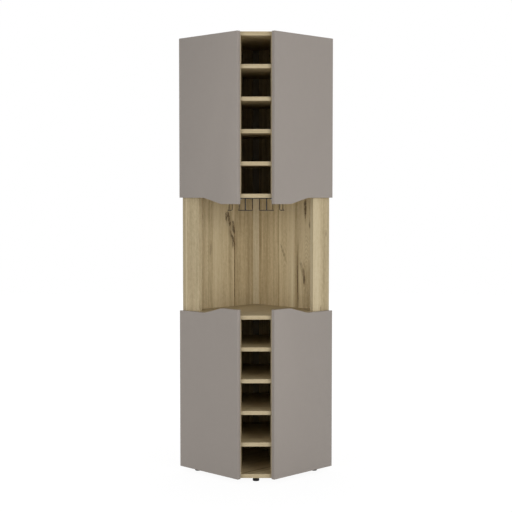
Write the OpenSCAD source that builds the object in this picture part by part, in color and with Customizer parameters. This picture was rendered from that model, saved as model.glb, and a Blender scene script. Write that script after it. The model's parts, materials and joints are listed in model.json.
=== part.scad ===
// Corner bar cabinet for a room corner. The plan is a square whose front corner is
// cut off. Two pairs of doors close the sides, a column of bottle compartments runs
// up the cut corner, and an open niche with a hanging glass rack lies between.
// All lengths are in millimetres. Z is up from the floor, the cabinet's middle line
// is at X zero, the doors face -Y and the room corner lies at +Y.
// Plan places are given as p and q: p is the distance from the right wall and q is
// the distance from the left wall.

/* [Plan] */
// Side of the square plan along each wall, doors included
side = 450; // [430:1:480]
// Clear width of the bottle column
column_w = 120; // [104:1:124]
// How far the boards stand behind the doors' inner corners
front_setback = 28; // [24:1:34]
// Width of the narrow posts that close the niche at its sides
post_w = 84; // [60:1:100]

/* [Heights] */
// Height of the feet
foot_h = 18; // [14:1:40]
// Clear height of one bottle compartment
cubby_h = 112; // [100:1:120]
// Clear height of the open niche
niche_h = 470; // [400:1:520]

/* [Boards] */
// Thickness of the boards, panels and partitions
board_t = 16; // [15:1:18]
// Thickness of the doors
door_t = 16; // [15:1:18]
// Gap between a door's back and the carcass
door_gap = 2; // [2:0.1:3]
// How far a door's inner edge stands out past the column's clear width
door_lip = 2; // [1:0.1:3]
// Leg of the three-sided batten in the rear corner
batten_leg = 19; // [15:1:24]

/* [Finger grips] */
// How far a door's grip lobe reaches into the niche
grip_drop = 25; // [15:1:35]
// Length of the lobe's straight end
grip_flat = 96; // [80:1:120]
// Length of the slope between the lobe and the straight edge
grip_ramp = 100; // [80:1:120]
// Radius of the curves at both ends of the slope
grip_r = 40; // [20:5:150]

/* [Glass rack] */
// Depth from the rack's front rail ends to its rear legs
rack_depth = 220; // [150:1:240]
// How far the rails hang below the niche ceiling, to the wire's middle
rack_drop = 50; // [40:1:60]
// Diameter of the rail wire
wire_d = 3; // [2.5:0.1:4]
// Clear slot between two rails for a stem
stem_slot = 26; // [22:1:30]
// Width of a middle rail between its wires' middle lines
rail_w = 56; // [48:1:60]
// Width of an outer rail between its wires' middle lines
edge_rail_w = 13; // [12:1:24]

/* [Hinges] */
// Distance from a door's straight end to the middle of a hinge
hinge_inset = 90; // [70:1:120]
// Distance from a door's outer edge to its turning axis
axis_inset = 7; // [6.6:0.1:7.2]
// Diameter of the hinge cup
cup_d = 35; // [34.6:0.1:35.4]
// Distance from a door's outer edge to the rim of the cup
cup_tab = 4; // [3.6:0.1:4.4]

/* [Feet] */
// Diameter of a foot at the floor
foot_d = 27; // [22:1:32]
// Distance from the boards' front edges to the middle of a foot
foot_inset = 34; // [26:1:44]

/* [Hidden] */

// Names of the two units and the two sides
LOWER = 0;
UPPER = 1;
LEFT = -1;
RIGHT = 1;
UNITS = [LOWER, UPPER];
SIDES = [LEFT, RIGHT];
cubby_count = 5;

// Colours
oak = "#c9b691";
oak_dark = "#a89370";
taupe = "#958b85";
black = "#1e1e1f";
steel = "#b9bcbf";
nickel = "#8f9296";
beech = "#d9bd8c";
rubber = "#d9dbd8";

// Smoothness of round pieces
$fn = 48;
curve_steps = 6;

// Overrun of every cut, and the play between a pin or screw and its hole
cut = 1;
hole_play = 0.1;
shelf_play = 0.5;
edge_play = 0.3;

// Heights of the boards, all measured to a board's underside
pitch = cubby_h + board_t;
unit_h = cubby_count * pitch + board_t;
ceiling_z = foot_h + unit_h + niche_h;
total_h = ceiling_z + unit_h;
counter_top = foot_h + unit_h;
function unit_z(u) = u == LOWER ? foot_h : ceiling_z;
function unit_lid_z(u) = unit_z(u) + unit_h - board_t;

// Plan sizes
turn = 225;
root2 = sqrt(2);
carcass = side - door_t - door_gap;
partition_x = column_w / 2;
partition_out = partition_x + board_t;
door_w = side - door_t - root2 * (partition_x + door_lip);
apex_y = (side + door_w) / root2 / 2;
front_y = -apex_y + front_setback;
front_sum = (apex_y - front_y) * root2;
front_q = front_sum - carcass;
column_rear_y = apex_y - root2 * board_t - partition_out - edge_play;
function plan(p, q) = [(q - p) / root2, apex_y - (p + q) / root2];

// Outline, in p and q, of the boards that span the whole cabinet
board_outline = [
    [board_t + batten_leg, board_t], [carcass, board_t], [carcass, front_q],
    [front_q, carcass], [board_t, carcass], [board_t, board_t + batten_leg]
];

// Screws through the rear panels, and where they stand along a board's edge
screw_head_r = 5;
screw_head_h = 3;
screw_neck_r = 3.5;
screw_shank_r = 2.6;
screw_l = 50;
screw_rear_p = 90;
screw_front_inset = 52;
corner_screw_inset = 110;
corner_screw_count = 5;

// Dowels: a short end in a board's face and a long end in a board's edge
dowel_r = 4;
dowel_l = 30;
dowel_face = 11;
dowel_inset = 60;
post_dowel_inset = 20;

// Side shelves and the pins below them
side_shelf_setback = 20;
pin_r = 2.5;
pin_out = 8;
pin_in = 10;
pin_inset = 55;

// Door hinges, seen in plan from the turning axis
cup_wall = 1;
cup_depth = 12;
cup_floor = 1;
wing_t = 1.2;
wing_w = 17;
wing_reach = 30;
cup_screw_offset = 9.5;
cup_screw_spacing = 45;
cup_screw_r = 1.9;
cup_screw_l = 11;
cup_screw_head_r = 3.5;
cup_screw_head_h = 1.5;
pivot_back = 9.5;
pivot_in = 17.5;
pivot_r = 1.1;
pivot_play = 0.06;
nose_r = 2.1;
link_eye_r = 2.3;
link_t = 2.4;
link_w = 10;
link_side_play = 0.3;
link_sweep = 95;
link_reach = 10.5;
link_hook = 2.5;
link_bow_reach = 9.5;
link_bow = 4;
cheek_t = 1.5;
arm_h = 13.5;
arm_web_t = 1.5;
arm_nose_inset = 4;
arm_tail = 60;
plate_t = 2.5;
plate_setback = 37;
plate_l = 34;
plate_bar_h = 18;
plate_wing_l = 11;
plate_wing_h = 48;
plate_screw_spacing = 32;
ridge_h = 5.5;
ridge_end = 3;
ridge_play = 0.1;
plate_screw_r = 1.9;
plate_screw_l = 14;
plate_screw_head_r = 3.6;
plate_screw_head_h = 1.4;
adjuster_r = 2;
adjuster_head_r = 3.4;
adjuster_head_h = 1.6;
pivot_p = side - pivot_back;
pivot_q = axis_inset + pivot_in;
cup_q = cup_tab + cup_d / 2;
door_back = side - door_t;
cheek_z = link_w / 2 + link_side_play;
plate_p = carcass - plate_setback;

// Glass rack
rack_front_inset = 27;
strip_w = 14;
strip_t = 4;
strip_end = 8;
edge_rail_play = 3;
dropper_d = 4.5;
rail_bend_r = 8;
leg_bend_r = 6;
rack_screw_x = 62;
rack_screw_r = 1.75;
rack_screw_l = 16;
rack_screw_head_r = 3.4;
rack_screw_head_h = 1.6;
rail_x = (stem_slot + wire_d) / 2 + rail_w / 2;
edge_rail_x = rail_x + rail_w / 2 + stem_slot + wire_d + edge_rail_w / 2;
rack_front_y = front_y + rack_front_inset;
rack_rear_y = rack_front_y + rack_depth;
rail_z = ceiling_z - rack_drop;
edge_rail_reach = edge_rail_x + edge_rail_w / 2 + wire_d / 2;
edge_rail_front_y = apex_y - root2 * (carcass - edge_rail_play) + edge_rail_reach;
front_strip_l = 2 * rail_x + rail_w + 2 * strip_end;
rear_strip_l = 2 * edge_rail_x + edge_rail_w + 2 * strip_end;

// Feet
foot_top_share = 0.9;
foot_chamfer = 1;
foot_wall_inset = 55;
foot_rear_inset = 62;
foot_bore_r = 2.2;
foot_pocket_r = 6;
foot_pocket_h = 6;
foot_screw_r = 2;
foot_screw_l = 24;
foot_screw_head_r = 4.2;
foot_screw_head_h = 2.5;

// Bumpers between doors and boards
bumper_r = 4;
bumper_play = 0.1;
bumper_inset = 24;

// Brackets that hold the cabinet to the walls
bracket_w = 20;
bracket_leg = 38;
bracket_t = 2;
bracket_p = 250;
wall_hole_r = 3;
wall_hole_drop = 26;
bracket_screw_r = 1.75;
bracket_screw_l = 14;
bracket_screw_head_r = 3.4;
bracket_screw_head_h = 1.6;
bracket_screw_first = 14;
bracket_screw_step = 16;

// Places in the plan coordinates of one side: X is p, Y is q
module on_side(s) {
    if (s == LEFT) translate([0, apex_y, 0]) rotate(turn) children();
    else mirror([1, 0, 0]) translate([0, apex_y, 0]) rotate(turn) children();
}

// Cylinders that start at the origin and run along p or along q
module along_p(r, l) rotate([0, 90, 0]) cylinder(r = r, h = l);
module along_q(r, l) rotate([-90, 0, 0]) cylinder(r = r, h = l);

// Screws through a rear panel into the edges of the four wide boards
module panel_screw(play) {
    translate([0, -play, 0]) along_q(screw_head_r + play, screw_head_h + play);
    along_q(screw_neck_r + play, board_t + play);
    along_q(screw_shank_r + play, screw_l + play);
}

module board_screws(u, lid, play) {
    z = (lid ? unit_lid_z(u) : unit_z(u)) + board_t / 2;
    for (p = [screw_rear_p, carcass - screw_front_inset]) translate([p, 0, z]) panel_screw(play);
}

module all_board_screws(play) for (u = UNITS, lid = [false, true]) board_screws(u, lid, play);

// Screws through the left panel into the rear edge of the right panel
module corner_screws(play) {
    step = (total_h - foot_h - 2 * corner_screw_inset) / (corner_screw_count - 1);
    for (k = [0:corner_screw_count - 1])
        translate([board_t / 2, 0, foot_h + corner_screw_inset + k * step]) panel_screw(play);
}

// Dowels that stand upright: the end in the board's face and the end in the edge
module upright_dowel(face_up, play) {
    from = face_up ? -dowel_face : dowel_face - dowel_l;
    translate([0, 0, from - play]) cylinder(r = dowel_r + play, h = dowel_l + 2 * play);
}

module partition_dowels(u, s, play) {
    x = s * (partition_x + board_t / 2);
    for (y = [front_y + dowel_inset, column_rear_y - dowel_inset]) {
        translate([x, y, unit_z(u) + board_t]) upright_dowel(true, play);
        translate([x, y, unit_lid_z(u)]) upright_dowel(false, play);
    }
}

module post_dowels(s, play) on_side(s)
    for (q = [board_t + post_dowel_inset, board_t + post_w - post_dowel_inset]) {
        translate([carcass - board_t / 2, q, counter_top]) upright_dowel(true, play);
        translate([carcass - board_t / 2, q, ceiling_z]) upright_dowel(false, play);
    }

// Dowels that carry one bottle shelf, lying across the joint with a partition
module shelf_dowels(u, k, s, play) {
    z = unit_z(u) + k * pitch + board_t / 2;
    for (y = [front_y + dowel_inset, column_rear_y - dowel_inset])
        translate([s * (partition_x + dowel_face + play), y, z]) rotate([0, -s * 90, 0])
            cylinder(r = dowel_r + play, h = dowel_l + 2 * play);
}

// Pins below a side shelf, two in the rear panel and two in the partition
side_shelf_rear_p = board_t + shelf_play + root2 * (partition_out + shelf_play);
side_shelf_front_p = carcass - side_shelf_setback;
function side_shelf_z(u) = (unit_z(u) + unit_lid_z(u)) / 2;

module panel_pins(u, play) {
    for (p = [side_shelf_rear_p + pin_inset, side_shelf_front_p - pin_inset])
        translate([p, board_t - pin_in - play, side_shelf_z(u) - pin_r])
            along_q(pin_r + play, pin_in + pin_out + play);
}

module partition_pins(u, s, play) {
    rear_y = plan(side_shelf_rear_p, board_t + shelf_play)[1];
    front_shelf_y = rear_y - (side_shelf_front_p - side_shelf_rear_p) * root2;
    for (y = [rear_y - pin_inset, front_shelf_y + pin_inset])
        translate([s * (partition_out - pin_in - play), y, side_shelf_z(u) - pin_r])
            rotate([0, s * 90, 0]) cylinder(r = pin_r + play, h = pin_in + pin_out + play);
}

// Heights of the two hinges of a door
function hinge_z(u) = [unit_z(u) + hinge_inset, unit_z(u) + unit_h - hinge_inset];

// Hinge bits share one frame: X is p, Y is q and Z is up from the hinge's middle
module at_hinges(u, s) on_side(s) for (z = hinge_z(u)) translate([0, 0, z]) children();

module cup_screw_places() {
    for (k = [-1, 1])
        translate([door_back - wing_t, cup_q + cup_screw_offset, k * cup_screw_spacing / 2])
            children();
}

module plate_screw_places() {
    for (k = [-1, 1])
        translate([plate_p, board_t + plate_t, k * plate_screw_spacing / 2]) children();
}

module adjuster_place() translate([plate_p, board_t + arm_h, 0]) children();

// Screw places under the glass rack's strips and in the wall brackets
module rack_screw_places() {
    for (x = [-rack_screw_x, rack_screw_x], y = [rack_front_y, rack_rear_y])
        translate([x, y, ceiling_z - strip_t]) children();
}

module bracket_screw_places() {
    for (k = [0, 1])
        translate([bracket_p, board_t + bracket_screw_first + k * bracket_screw_step,
            unit_lid_z(UPPER) - bracket_t]) children();
}

// Middles of the feet in plan
foot_places = [
    [0, front_y + foot_inset], plan(carcass - foot_inset, foot_wall_inset),
    plan(foot_wall_inset, carcass - foot_inset), plan(foot_rear_inset, foot_rear_inset)
];

// The wide boards, with the holes that their neighbours need
module wide_board(u, lid) {
    z = lid ? unit_lid_z(u) : unit_z(u);
    difference() {
        on_side(LEFT) translate([0, 0, z]) linear_extrude(board_t) polygon(board_outline);
        for (s = SIDES) {
            on_side(s) board_screws(u, lid, hole_play);
            partition_dowels(u, s, hole_play);
            if ((u == LOWER) == lid) post_dowels(s, hole_play);
        }
    }
}

module base_board() color(oak) difference() {
    wide_board(LOWER, false);
    for (f = foot_places) translate([f[0], f[1], foot_h - cut])
        cylinder(r = foot_screw_r + hole_play,
            h = cut + foot_pocket_h + foot_screw_l - foot_h + hole_play);
}

module counter_board() color(oak) wide_board(LOWER, true);

module niche_ceiling_board() color(oak) difference() {
    wide_board(UPPER, false);
    rack_screw_places() cylinder(r = rack_screw_r + hole_play, h = rack_screw_l + hole_play);
}

module top_board() color(oak) difference() {
    wide_board(UPPER, true);
    for (s = SIDES) on_side(s) bracket_screw_places()
        cylinder(r = bracket_screw_r + hole_play, h = bracket_screw_l + hole_play);
}

// Rear panels against the walls: the left one runs past the right one's rear edge
module rear_panel(s, start) difference() {
    on_side(s) difference() {
        translate([start, 0, foot_h]) cube([carcass - start, board_t, total_h - foot_h]);
        all_board_screws(hole_play);
        for (u = UNITS) panel_pins(u, hole_play);
        translate([bracket_p, -cut, unit_lid_z(UPPER) - wall_hole_drop])
            along_q(wall_hole_r, board_t + 2 * cut);
    }
    on_side(LEFT) corner_screws(hole_play);
    for (u = UNITS) at_hinges(u, s) plate_screw_places() mirror([0, 1, 0])
        along_q(plate_screw_r + hole_play, plate_screw_l + hole_play);
}

module rear_left_panel() color(oak) rear_panel(LEFT, 0);
module rear_right_panel() color(oak) rear_panel(RIGHT, board_t);

module corner_batten() color(oak) on_side(LEFT) translate([board_t, board_t, foot_h])
    linear_extrude(total_h - foot_h) polygon([[0, 0], [batten_leg, 0], [0, batten_leg]]);

module niche_post(s) color(oak) difference() {
    on_side(s) translate([carcass - board_t, board_t, counter_top])
        cube([board_t, post_w, niche_h]);
    post_dowels(s, hole_play);
}

// Upright partitions between the bottle column and the side compartments
module partition(u, s) color(oak) difference() {
    translate([s * (partition_x + board_t / 2) - board_t / 2, front_y, unit_z(u) + board_t])
        cube([board_t, column_rear_y - front_y, unit_h - 2 * board_t]);
    partition_dowels(u, s, hole_play);
    for (k = [1:cubby_count - 1]) shelf_dowels(u, k, s, hole_play);
    partition_pins(u, s, hole_play);
}

module column_shelf(u, k) color(oak) difference() {
    translate([-partition_x, front_y, unit_z(u) + k * pitch])
        cube([column_w, column_rear_y - front_y, board_t]);
    for (s = SIDES) shelf_dowels(u, k, s, hole_play);
}

module side_shelf(u, s) color(oak_dark) on_side(s) translate([0, 0, side_shelf_z(u)])
    linear_extrude(board_t) polygon([
        [side_shelf_rear_p, board_t + shelf_play], [side_shelf_front_p, board_t + shelf_play],
        [side_shelf_front_p, board_t + shelf_play + side_shelf_front_p - side_shelf_rear_p]
    ]);

// A door's outline from its outer edge, with the grip lobe at its inner top corner
grip_angle = atan(grip_drop / grip_ramp);
grip_tangent = grip_r * tan(grip_angle / 2);
grip_steps = [0:curve_steps];
door_outline = concat(
    [[0, 0], [door_w, 0], [door_w, unit_h + grip_drop]],
    [for (k = grip_steps) let (a = grip_angle * k / curve_steps)
        [door_w - grip_flat + grip_tangent - grip_r * sin(a),
            unit_h + grip_drop - grip_r * (1 - cos(a))]],
    [for (k = grip_steps) let (a = grip_angle * (1 - k / curve_steps))
        [door_w - grip_flat - grip_ramp - grip_tangent + grip_r * sin(a),
            unit_h + grip_r * (1 - cos(a))]],
    [[0, unit_h]]
);

module door_blank(u) {
    translate([door_back, 0, u == LOWER ? foot_h : total_h])
        mirror([0, 0, u == LOWER ? 0 : 1]) rotate([90, 0, 90])
            linear_extrude(door_t) polygon(door_outline);
}

module door(u, s) color(taupe) difference() {
    on_side(s) door_blank(u);
    at_hinges(u, s) {
        translate([door_back - cut, cup_q, 0])
            along_p(cup_d / 2 + hole_play, cut + cup_depth + hole_play);
        cup_screw_places() along_p(cup_screw_r + hole_play, cup_screw_l + hole_play);
    }
}

// Pressed hinge cup with the two wings that its screws hold
module hinge_cup() difference() {
    union() {
        translate([door_back, cup_q, 0]) along_p(cup_d / 2, cup_depth);
        translate([door_back - wing_t, cup_q, -wing_reach])
            cube([wing_t, wing_w, 2 * wing_reach]);
    }
    translate([door_back - wing_t - cut, cup_q, 0])
        along_p(cup_d / 2 - cup_wall, cut + wing_t + cup_depth - cup_floor);
    cup_screw_places() translate([-cut, 0, 0])
        along_p(cup_screw_r + hole_play, wing_t + 2 * cut);
}

module hinge_cups(u, s) color(nickel) at_hinges(u, s) hinge_cup();

module cup_screws(u, s) color(steel) at_hinges(u, s) cup_screw_places() {
    along_p(cup_screw_r, cup_screw_l);
    translate([-cup_screw_head_h, 0, 0]) along_p(cup_screw_head_r, cup_screw_head_h);
}

// Bowed link, drawn as it stands with the door open and then swung back to rest
function bow_point(t) = [
    2 * t * (1 - t) * link_bow_reach + t * t * link_reach,
    2 * t * (1 - t) * link_bow - t * t * link_hook
];
function bow_slope(t) = [
    2 * (1 - 2 * t) * link_bow_reach + 2 * t * link_reach,
    2 * (1 - 2 * t) * link_bow - 2 * t * link_hook
];
function bow_side(t, side_sign) = let (d = bow_slope(t) / norm(bow_slope(t)))
    bow_point(t) + side_sign * link_t / 2 * [-d[1], d[0]];
link_outline = concat(
    [for (k = [0:curve_steps]) bow_side(k / curve_steps, 1)],
    [for (k = [0:curve_steps]) bow_side(1 - k / curve_steps, -1)]
);

module hinge_link() translate([pivot_p, pivot_q, -link_w / 2]) rotate(link_sweep)
    difference() {
        union() {
            linear_extrude(link_w) polygon(link_outline);
            cylinder(r = link_eye_r, h = link_w);
            translate([link_reach, -link_hook, 0]) cylinder(r = link_t / 2, h = link_w);
        }
        translate([0, 0, -cut]) cylinder(r = pivot_r + pivot_play, h = link_w + 2 * cut);
    }

module hinge_links(u, s) color(nickel) at_hinges(u, s) hinge_link();

// Channel-shaped hinge arm, with its nose and pivot pin in the cup's mouth
arm_outline = [
    [pivot_p, pivot_q - nose_r], [carcass - arm_nose_inset, board_t + plate_t],
    [carcass - arm_tail, board_t + plate_t], [carcass - arm_tail, board_t + arm_h],
    [carcass - arm_nose_inset, board_t + arm_h], [pivot_p, pivot_q + nose_r]
];

module hinge_arm() {
    for (k = [0, 1]) mirror([0, 0, k]) translate([0, 0, cheek_z]) {
        linear_extrude(cheek_t) polygon(arm_outline);
        translate([pivot_p, pivot_q, 0]) cylinder(r = nose_r, h = cheek_t);
    }
    difference() {
        translate([carcass - arm_tail, board_t + arm_h - arm_web_t, -cheek_z])
            cube([arm_tail - arm_nose_inset, arm_web_t, 2 * cheek_z]);
        adjuster_place() translate([0, -arm_web_t - cut, 0])
            along_q(adjuster_r + hole_play, arm_web_t + 2 * cut);
    }
    translate([pivot_p, pivot_q, -cheek_z]) cylinder(r = pivot_r, h = 2 * cheek_z);
}

module hinge_arms() color(nickel) for (u = UNITS, s = SIDES) at_hinges(u, s) hinge_arm();

// Cross-shaped plate on the panel, with the ridge that the arm clips over
module hinge_plate() difference() {
    translate([plate_p, board_t, 0]) {
        translate([-plate_l / 2, 0, -plate_bar_h / 2]) cube([plate_l, plate_t, plate_bar_h]);
        translate([-plate_wing_l / 2, 0, -plate_wing_h / 2])
            cube([plate_wing_l, plate_t, plate_wing_h]);
        translate([ridge_end - plate_l / 2, plate_t, ridge_play - cheek_z])
            cube([plate_l - 2 * ridge_end, ridge_h, 2 * (cheek_z - ridge_play)]);
    }
    plate_screw_places() translate([0, -plate_t - cut, 0])
        along_q(plate_screw_r + hole_play, plate_t + 2 * cut);
    translate([plate_p, board_t + plate_t, 0]) along_q(adjuster_r + hole_play, ridge_h + cut);
}

module hinge_plates() color(nickel)
    for (u = UNITS, s = SIDES) at_hinges(u, s) hinge_plate();

module hinge_plate_screws() color(steel) for (u = UNITS, s = SIDES) at_hinges(u, s) {
    plate_screw_places() {
        mirror([0, 1, 0]) along_q(plate_screw_r, plate_screw_l);
        along_q(plate_screw_head_r, plate_screw_head_h);
    }
    adjuster_place() {
        along_q(adjuster_head_r, adjuster_head_h);
        mirror([0, 1, 0]) along_q(adjuster_r, arm_h - plate_t - hole_play);
    }
}

// One rail of the glass rack: a hairpin of wire whose rear ends turn up as legs
module bend(r) rotate_extrude(angle = 90) translate([r, 0]) circle(r = wire_d / 2);

module wire(l) cylinder(r = wire_d / 2, h = l);

module rail(w, l) {
    front_r = min(rail_bend_r, w / 2);
    straight = l - front_r - leg_bend_r;
    for (k = [0, 1]) mirror([k, 0, 0]) {
        translate([w / 2 - front_r, front_r, 0]) rotate(-90) bend(front_r);
        translate([w / 2, front_r, 0]) rotate([-90, 0, 0]) wire(straight);
        translate([w / 2, l - leg_bend_r, leg_bend_r]) rotate([0, 90, 0]) bend(leg_bend_r);
        translate([w / 2, l, leg_bend_r])
            wire(rack_drop - leg_bend_r - strip_t / 2);
    }
    if (w > 2 * front_r) translate([front_r - w / 2, 0, 0]) rotate([0, 90, 0])
        wire(w - 2 * front_r);
}

module strip(y, l) translate([-l / 2, y - strip_w / 2, ceiling_z - strip_t])
    cube([l, strip_w, strip_t]);

module glass_rack() color(black) {
    difference() {
        union() {
            strip(rack_front_y, front_strip_l);
            strip(rack_rear_y, rear_strip_l);
        }
        rack_screw_places() translate([0, 0, -cut])
            cylinder(r = rack_screw_r + hole_play, h = strip_t + 2 * cut);
    }
    for (x = [-rail_x, rail_x]) translate([x, rack_front_y, rail_z]) {
        rail(rail_w, rack_depth);
        cylinder(r = dropper_d / 2, h = rack_drop - strip_t / 2);
    }
    for (x = [-edge_rail_x, edge_rail_x]) translate([x, edge_rail_front_y, rail_z])
        rail(edge_rail_w, rack_rear_y - edge_rail_front_y);
}

module rack_screws() color(steel) rack_screw_places() {
    cylinder(r = rack_screw_r, h = rack_screw_l);
    translate([0, 0, -rack_screw_head_h]) cylinder(r = rack_screw_head_r, h = rack_screw_head_h);
}

// Tapered foot with a pocket below for its screw's head
module foot(k) color(black) translate([foot_places[k][0], foot_places[k][1], 0])
    rotate_extrude() polygon([
        [foot_pocket_r, 0], [foot_d / 2 - foot_chamfer, 0], [foot_d / 2, foot_chamfer],
        [foot_d / 2 * foot_top_share, foot_h], [foot_bore_r, foot_h],
        [foot_bore_r, foot_pocket_h], [foot_pocket_r, foot_pocket_h]
    ]);

module foot_screws() color(steel) for (f = foot_places)
    translate([f[0], f[1], foot_pocket_h]) {
        cylinder(r = foot_screw_r, h = foot_screw_l);
        translate([0, 0, -foot_screw_head_h])
            cylinder(r = foot_screw_head_r, h = foot_screw_head_h);
    }

// Soft dots on the boards' front edges that the closed doors rest on
module door_bumpers() color(rubber)
    for (u = UNITS, s = SIDES, z = [unit_z(u), unit_lid_z(u)])
        on_side(s) translate([carcass, front_q - bumper_inset, z + board_t / 2])
            along_p(bumper_r, door_gap - bumper_play);

module shelf_pins() color(steel) for (u = UNITS, s = SIDES) {
    on_side(s) panel_pins(u, 0);
    partition_pins(u, s, 0);
}

module dowels() color(beech) for (s = SIDES) {
    post_dowels(s, 0);
    for (u = UNITS) {
        partition_dowels(u, s, 0);
        for (k = [1:cubby_count - 1]) shelf_dowels(u, k, s, 0);
    }
}

module carcass_screws() color(steel) {
    for (s = SIDES) on_side(s) all_board_screws(0);
    on_side(LEFT) corner_screws(0);
}

// Angle bracket between the top board and a rear panel, open for the wall screw
module wall_brackets() color(steel) for (s = SIDES) on_side(s) difference() {
    translate([bracket_p - bracket_w / 2, board_t, unit_lid_z(UPPER)]) {
        translate([0, 0, -bracket_t]) cube([bracket_w, bracket_leg, bracket_t]);
        translate([0, 0, -bracket_leg]) cube([bracket_w, bracket_t, bracket_leg]);
    }
    bracket_screw_places() translate([0, 0, -cut])
        cylinder(r = bracket_screw_r + hole_play, h = bracket_t + 2 * cut);
    translate([bracket_p, board_t - cut, unit_lid_z(UPPER) - wall_hole_drop])
        along_q(wall_hole_r, bracket_t + 2 * cut);
}

module bracket_screws() color(steel) for (s = SIDES) on_side(s) bracket_screw_places() {
    cylinder(r = bracket_screw_r, h = bracket_screw_l);
    translate([0, 0, -bracket_screw_head_h])
        cylinder(r = bracket_screw_head_r, h = bracket_screw_head_h);
}

base_board();
counter_board();
niche_ceiling_board();
top_board();
rear_left_panel();
rear_right_panel();
corner_batten();
niche_post(LEFT);  // niche_post_left
niche_post(RIGHT);  // niche_post_right
partition(LOWER, LEFT);  // lower_partition_left
partition(LOWER, RIGHT);  // lower_partition_right
partition(UPPER, LEFT);  // upper_partition_left
partition(UPPER, RIGHT);  // upper_partition_right
column_shelf(LOWER, 1);  // lower_column_shelf_1
column_shelf(LOWER, 2);  // lower_column_shelf_2
column_shelf(LOWER, 3);  // lower_column_shelf_3
column_shelf(LOWER, 4);  // lower_column_shelf_4
column_shelf(UPPER, 1);  // upper_column_shelf_1
column_shelf(UPPER, 2);  // upper_column_shelf_2
column_shelf(UPPER, 3);  // upper_column_shelf_3
column_shelf(UPPER, 4);  // upper_column_shelf_4
side_shelf(LOWER, LEFT);  // lower_side_shelf_left
side_shelf(LOWER, RIGHT);  // lower_side_shelf_right
side_shelf(UPPER, LEFT);  // upper_side_shelf_left
side_shelf(UPPER, RIGHT);  // upper_side_shelf_right
door(LOWER, LEFT);  // lower_door_left
door(LOWER, RIGHT);  // lower_door_right
door(UPPER, LEFT);  // upper_door_left
door(UPPER, RIGHT);  // upper_door_right
hinge_cups(LOWER, LEFT);  // lower_hinge_cups_left
hinge_cups(LOWER, RIGHT);  // lower_hinge_cups_right
hinge_cups(UPPER, LEFT);  // upper_hinge_cups_left
hinge_cups(UPPER, RIGHT);  // upper_hinge_cups_right
cup_screws(LOWER, LEFT);  // lower_cup_screws_left
cup_screws(LOWER, RIGHT);  // lower_cup_screws_right
cup_screws(UPPER, LEFT);  // upper_cup_screws_left
cup_screws(UPPER, RIGHT);  // upper_cup_screws_right
hinge_links(LOWER, LEFT);  // lower_hinge_links_left
hinge_links(LOWER, RIGHT);  // lower_hinge_links_right
hinge_links(UPPER, LEFT);  // upper_hinge_links_left
hinge_links(UPPER, RIGHT);  // upper_hinge_links_right
hinge_arms();
hinge_plates();
hinge_plate_screws();
glass_rack();
rack_screws();
foot(0);  // foot_front
foot(1);  // foot_left
foot(2);  // foot_right
foot(3);  // foot_rear
foot_screws();
door_bumpers();
shelf_pins();
dowels();
carcass_screws();
wall_brackets();
bracket_screws();
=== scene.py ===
import json
import math

import bpy
from mathutils import Matrix, Vector


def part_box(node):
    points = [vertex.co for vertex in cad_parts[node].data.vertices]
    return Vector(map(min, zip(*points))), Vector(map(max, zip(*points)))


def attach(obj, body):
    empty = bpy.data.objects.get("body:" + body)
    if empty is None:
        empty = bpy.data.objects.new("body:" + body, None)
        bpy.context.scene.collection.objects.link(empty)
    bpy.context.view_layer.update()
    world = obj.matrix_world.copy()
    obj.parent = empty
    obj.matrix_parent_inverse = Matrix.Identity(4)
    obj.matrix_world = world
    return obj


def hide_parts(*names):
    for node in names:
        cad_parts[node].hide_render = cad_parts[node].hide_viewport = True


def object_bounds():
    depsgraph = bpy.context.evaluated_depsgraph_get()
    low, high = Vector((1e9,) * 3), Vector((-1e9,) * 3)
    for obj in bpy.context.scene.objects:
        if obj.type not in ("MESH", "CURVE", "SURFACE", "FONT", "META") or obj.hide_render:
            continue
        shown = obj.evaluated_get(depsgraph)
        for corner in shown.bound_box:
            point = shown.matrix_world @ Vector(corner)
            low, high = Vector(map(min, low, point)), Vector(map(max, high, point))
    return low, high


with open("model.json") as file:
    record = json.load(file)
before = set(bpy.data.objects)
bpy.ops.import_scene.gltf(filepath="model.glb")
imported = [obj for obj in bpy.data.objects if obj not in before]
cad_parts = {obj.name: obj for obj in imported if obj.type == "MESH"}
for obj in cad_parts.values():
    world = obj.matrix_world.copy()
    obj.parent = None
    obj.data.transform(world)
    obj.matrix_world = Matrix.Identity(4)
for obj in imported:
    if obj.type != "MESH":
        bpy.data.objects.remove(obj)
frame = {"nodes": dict(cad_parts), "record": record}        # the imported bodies, nodes, joints and record
cad_low, cad_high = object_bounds()
nodes = frame["nodes"]
record = frame["record"]

MM = 0.001
ROOT2 = math.sqrt(2)
WALL_CORNER_Y = cad_high.y    # where the two room walls meet
FRONT_Y = cad_low.y           # the doors' front corners
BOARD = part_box("top_board")[1].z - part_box("top_board")[0].z
NICHE_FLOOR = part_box("counter_board")[1].z
NICHE_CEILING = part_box("niche_ceiling_board")[0].z

# Plan directions: P runs along the left wall and Q along the right wall, out from the corner
P_DIRECTION = Vector((-1, -1, 0)) / ROOT2
Q_DIRECTION = Vector((1, -1, 0)) / ROOT2
UP = Vector((0, 0, 1))
LEFT, RIGHT = -1, 1


def to_linear(colour):
    """An sRGB colour, from 0 to 255, as a linear one with alpha."""
    def channel(c):
        c = c / 255
        return c / 12.92 if c <= 0.04045 else ((c + 0.055) / 1.055) ** 2.4
    return tuple(channel(c) for c in colour) + (1.0,)


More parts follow.
